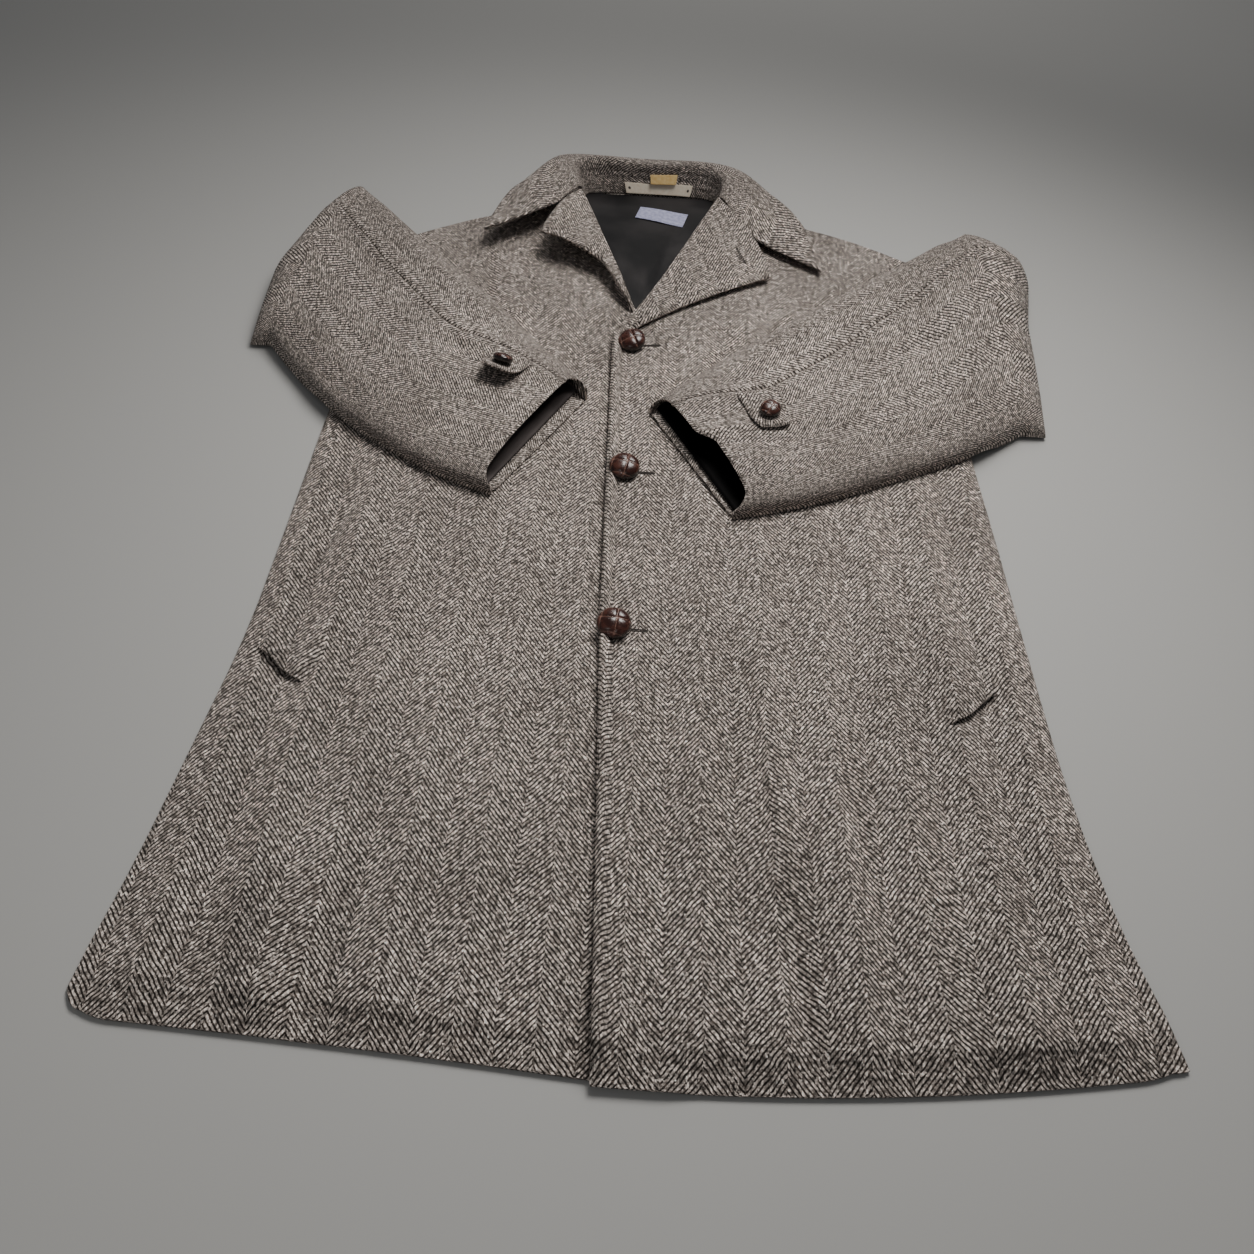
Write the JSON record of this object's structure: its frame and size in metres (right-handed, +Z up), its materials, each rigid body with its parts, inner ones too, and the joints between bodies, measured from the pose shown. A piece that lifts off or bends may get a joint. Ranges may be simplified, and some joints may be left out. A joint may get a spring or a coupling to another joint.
{
  "type": "tweed overcoat",
  "caption": "Buttoned herringbone tweed overcoat laid flat on its back, notched lapels, slanted welt pockets, tabbed cuffs and both sleeves folded across the chest.",
  "frame": {"origin": "middle of the coat's plan, on the surface it lies on", "axes": "+Z up from that surface, +Y from the hem to the collar, +X to the wearer's left, which is the viewer's right"},
  "size_m": [0.8052, 1.1092, 0.0576],
  "materials": {
    "tweed": "napped herringbone",
    "lining": "satin",
    "button_leather": "polished, woven",
    "label": "woven, bare",
    "hanger_strip": "woven tape",
    "size_tab": "woven, bare"
  },
  "bodies": {
    "root": {"back": "tweed", "front_left": "tweed", "front_right": "tweed", "lapel_left": "tweed", "lapel_right": "tweed", "collar": "tweed", "sleeve_left_back": "tweed", "sleeve_left_front": "tweed", "sleeve_left_under": "tweed", "sleeve_left_upper_arm": "tweed", "sleeve_right_back": "tweed", "sleeve_right_front": "tweed", "sleeve_right_under": "tweed", "sleeve_right_upper_arm": "tweed", "cuff_tab_left": "tweed", "cuff_tab_right": "tweed", "pocket_welt_left": "tweed", "pocket_welt_right": "tweed", "cuff_lining_left": "lining", "cuff_lining_right": "lining", "neck_lining": "lining", "cuff_button_left": "button_leather", "cuff_button_right": "button_leather", "front_button_1": "button_leather", "front_button_2": "button_leather", "front_button_3": "button_leather", "neck_label": "label", "hanger_strip": "hanger_strip", "size_tab": "size_tab"}
  },
  "joints": []
}
